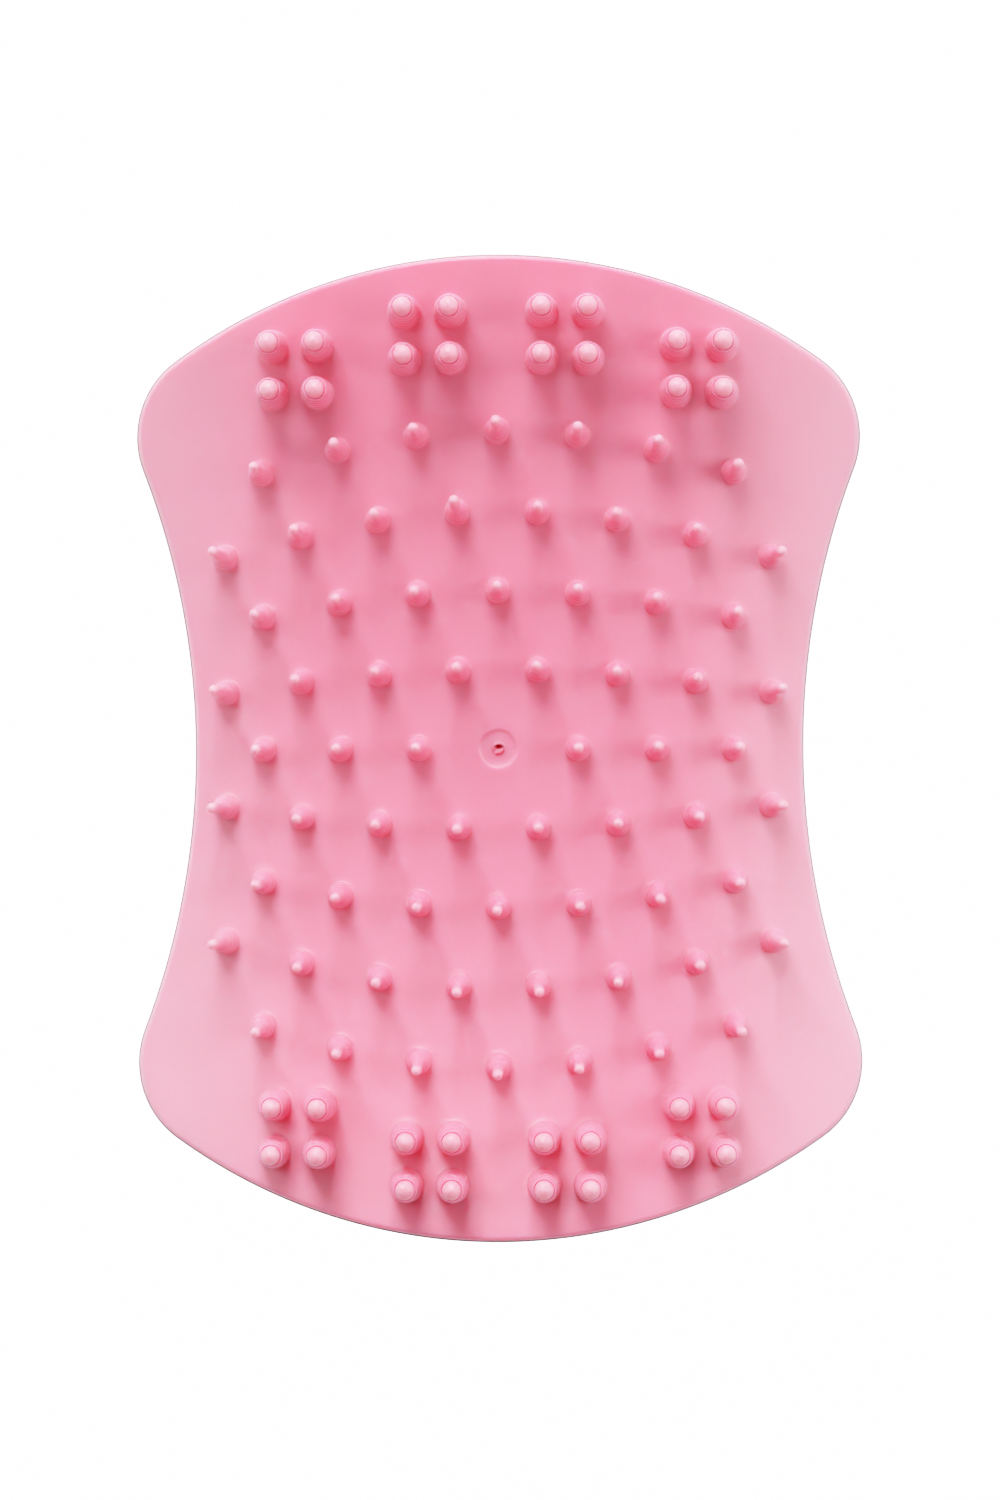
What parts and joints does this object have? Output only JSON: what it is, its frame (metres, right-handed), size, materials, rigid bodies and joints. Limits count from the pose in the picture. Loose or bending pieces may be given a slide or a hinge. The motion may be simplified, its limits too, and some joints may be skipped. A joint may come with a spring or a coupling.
{
  "type": "scalp massager brush",
  "caption": "Hourglass palm brush with a saddle-shaped face of fine pointed teeth and end clusters of round-ended massage teeth, on a hollow hull-shaped grip.",
  "frame": {"origin": "middle of the flat land on the back of the grip, where the brush rests with its teeth up", "axes": "+Z out of the toothed face, +Y along the brush, +X across its waist"},
  "size_m": [0.073, 0.0972, 0.0398],
  "materials": {
    "pad_elastomer": "satin",
    "plate_plastic": "matte",
    "grip_plastic": "gloss"
  },
  "bodies": {
    "root": {"tooth_pad": "pad_elastomer", "carrier_plate": "plate_plastic", "grip_shell": "grip_plastic"}
  },
  "joints": []
}
